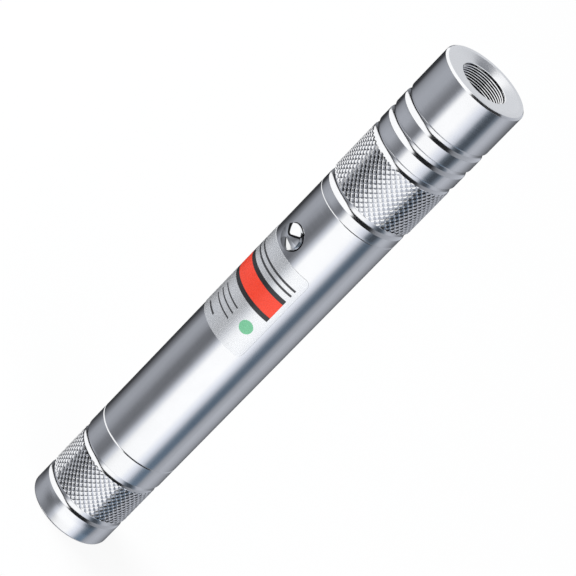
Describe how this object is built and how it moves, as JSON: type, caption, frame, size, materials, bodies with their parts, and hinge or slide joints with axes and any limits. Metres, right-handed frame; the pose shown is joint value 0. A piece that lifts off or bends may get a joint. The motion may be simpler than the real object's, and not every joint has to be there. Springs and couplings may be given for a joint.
{
  "type": "laser pointer",
  "caption": "Slim metal laser pointer: knurled turning focus head with a threaded mouth, plain tube with a domed side button and a bare label, and a knurled screwed tail cap.",
  "frame": {"origin": "centre of the flat tail end face", "axes": "+Z along the beam towards the front face, the push button faces -Y"},
  "size_m": [0.0232, 0.0242, 0.1572],
  "materials": {
    "aluminium_shell": "fine satin, turned and clear anodised",
    "aluminium_inner": "turned",
    "label_film": "satin metallised film",
    "button_chrome": "polished",
    "rubber": "smooth",
    "brass": "turned",
    "spring_steel": "nickel plated",
    "cell_steel": "nickel plated",
    "cell_wrap": "shrink film",
    "insulating_card": "fibre card",
    "circuit_board": "solder mask",
    "black_plastic": "moulded",
    "capacitor_can": "drawn can",
    "resistor_ceramic": "ceramic",
    "trimmer_plastic": "moulded",
    "trimmer_metal": "plated",
    "red_insulation": "silicone",
    "black_insulation": "silicone",
    "clear_glass": "coated optics",
    "laser_crystal": "polished",
    "filter_glass": "polished"
  },
  "bodies": {
    "housing": {"battery_lead": "red_insulation", "battery_tube": "aluminium_shell", "board_carrier": "black_plastic", "capacitor": "capacitor_can", "cell_can": "cell_steel", "cell_ring": "insulating_card", "cell_sleeve": "cell_wrap", "cell_terminal": "cell_steel", "contact_board": "circuit_board", "crystal_holder": "brass", "diode_can": "spring_steel", "diode_header": "trimmer_metal", "diode_lead_black": "black_insulation", "diode_lead_red": "red_insulation", "diode_sink": "brass", "diode_window": "clear_glass", "driver_board": "circuit_board", "driver_chip": "black_plastic", "expander_lens": "clear_glass", "expander_mount": "aluminium_inner", "front_collar": "aluminium_inner", "infrared_filter": "filter_glass", "label": "label_film", "laser_crystal": "laser_crystal", "module_tube": "brass", "positive_stud": "brass", "resistor_1": "resistor_ceramic", "resistor_2": "resistor_ceramic", "resistor_3": "resistor_ceramic", "resistor_4": "resistor_ceramic", "switch_body": "black_plastic", "switch_cover": "spring_steel", "switch_dome": "spring_steel", "transistor": "black_plastic", "trimmer_body": "trimmer_plastic", "trimmer_screw": "trimmer_metal"},
    "button": {"power_button": "button_chrome", "switch_plunger": "black_plastic"},
    "tail_seal": {"tail_o_ring": "rubber"},
    "tail_end": {"tail_cap": "aluminium_shell", "tail_contact": "brass", "tail_spring": "spring_steel", "spring_retainer": "aluminium_inner"},
    "focus_seal": {"focus_o_ring": "rubber"},
    "focus_end": {"focus_head": "aluminium_shell", "focus_lens": "clear_glass", "lens_gasket": "rubber", "lens_ring": "aluminium_inner"}
  },
  "joints": [
    {"name": "button_press", "type": "slide", "parent": "housing", "child": "button", "axis": [0, 1, 0], "range_m": [0, 0.0005], "stiffness_N_per_m": 2000},
    {"name": "focus_turn", "type": "hinge", "parent": "housing", "child": "focus_seal", "pos_m": [0, 0, 0.11189], "axis": [0, 0, 1], "range_deg": [0, 720]},
    {"name": "focus_travel", "type": "slide", "parent": "focus_seal", "child": "focus_end", "axis": [0, 0, 1], "range_m": [0, 0.0015]},
    {"name": "tail_turn", "type": "hinge", "parent": "housing", "child": "tail_seal", "pos_m": [0, 0, 0.02864], "axis": [0, 0, -1], "range_deg": [0, 1080]},
    {"name": "tail_travel", "type": "slide", "parent": "tail_seal", "child": "tail_end", "axis": [0, 0, -1], "range_m": [0, 0.0024]}
  ],
  "couplings": [
    {"joint": "focus_turn", "follows": "focus_travel", "rad_per_m": 8377.6},
    {"joint": "tail_turn", "follows": "tail_travel", "rad_per_m": 7854}
  ]
}
